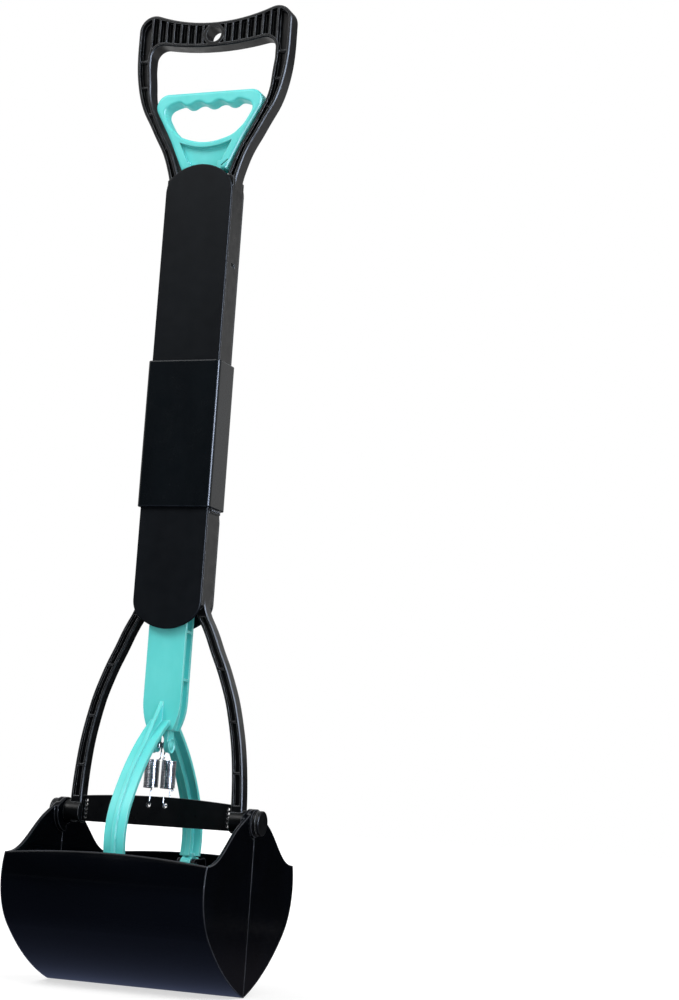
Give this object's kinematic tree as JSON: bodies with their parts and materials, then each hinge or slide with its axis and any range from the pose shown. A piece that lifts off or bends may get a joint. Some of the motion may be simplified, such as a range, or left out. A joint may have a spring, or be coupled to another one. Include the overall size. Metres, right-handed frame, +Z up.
{
  "type": "pooper scooper",
  "caption": "Long-handled folding scooper with a D-shaped hand grip, a sprung pull handle and bar, a lock sleeve over the fold and two jaws that open at the foot.",
  "frame": {"origin": "middle of the closed jaws' lips, where the standing scooper touches the floor", "axes": "+Z up the handle, X along the jaws' hinge, -Y to the front of the scooper"},
  "size_m": [0.1616, 0.1552, 0.711],
  "materials": {
    "black_plastic": "satin",
    "black_jaw": "gloss",
    "teal_plastic": "satin",
    "pin_steel": "satin",
    "spring_wire": "bright zinc"
  },
  "bodies": {
    "lower_body": {"lower_frame": "black_plastic", "crossbar": "black_plastic", "lower_front_cover": "black_plastic", "lower_back_cover": "black_plastic", "left_pivot_pin": "black_plastic", "right_pivot_pin": "black_plastic", "left_fold_pin": "pin_steel", "right_fold_pin": "pin_steel", "left_spring": "spring_wire", "right_spring": "spring_wire"},
    "upper_body": {"handle_frame": "black_plastic", "upper_front_cover": "black_plastic", "upper_back_cover": "black_plastic"},
    "sleeve": {"lock_sleeve": "black_plastic"},
    "fork": {"lower_pull_bar": "teal_plastic", "link_pin": "pin_steel", "hanger_pin": "pin_steel"},
    "pull": {"upper_pull_bar": "teal_plastic", "pull_handle": "teal_plastic", "handle_rivet": "pin_steel"},
    "front_jaw_body": {"front_jaw": "black_jaw", "front_lug_pin": "pin_steel"},
    "rear_jaw_body": {"rear_jaw": "black_jaw", "rear_lug_pin": "pin_steel"}
  },
  "joints": [
    {"name": "fold", "type": "hinge", "parent": "lower_body", "child": "upper_body", "pos_m": [0, 0.0065, 0.343], "axis": [-1, 0, 0], "range_deg": [0, 150]},
    {"name": "sleeve_slide", "type": "slide", "parent": "upper_body", "child": "sleeve", "axis": [0, 0, 1], "range_m": [0, 0.0735]},
    {"name": "fork_slide", "type": "slide", "parent": "lower_body", "child": "fork", "axis": [0, 0, 1], "range_m": [0, 0.026], "stiffness_N_per_m": 1000, "springref_m": -0.012, "deforming": ["left_spring", "right_spring"]},
    {"name": "pull_slide", "type": "slide", "parent": "upper_body", "child": "pull", "axis": [0, 0, 1], "range_m": [0, 0.0261]},
    {"name": "front_jaw_hinge", "type": "hinge", "parent": "lower_body", "child": "front_jaw_body", "pos_m": [0, 0, 0.117], "axis": [-1, 0, 0], "range_deg": [0, 24.1]},
    {"name": "rear_jaw_hinge", "type": "hinge", "parent": "lower_body", "child": "rear_jaw_body", "pos_m": [0, 0, 0.117], "axis": [1, 0, 0], "range_deg": [0, 24.1]}
  ],
  "couplings": [
    {"joint": "sleeve_slide", "follows": "fold", "m_per_rad": 0.028},
    {"joint": "pull_slide", "follows": "fork_slide", "ratio": 1},
    {"joint": "front_jaw_hinge", "follows": "fork_slide", "rad_per_m": 16.089},
    {"joint": "rear_jaw_hinge", "follows": "fork_slide", "rad_per_m": 16.089}
  ]
}
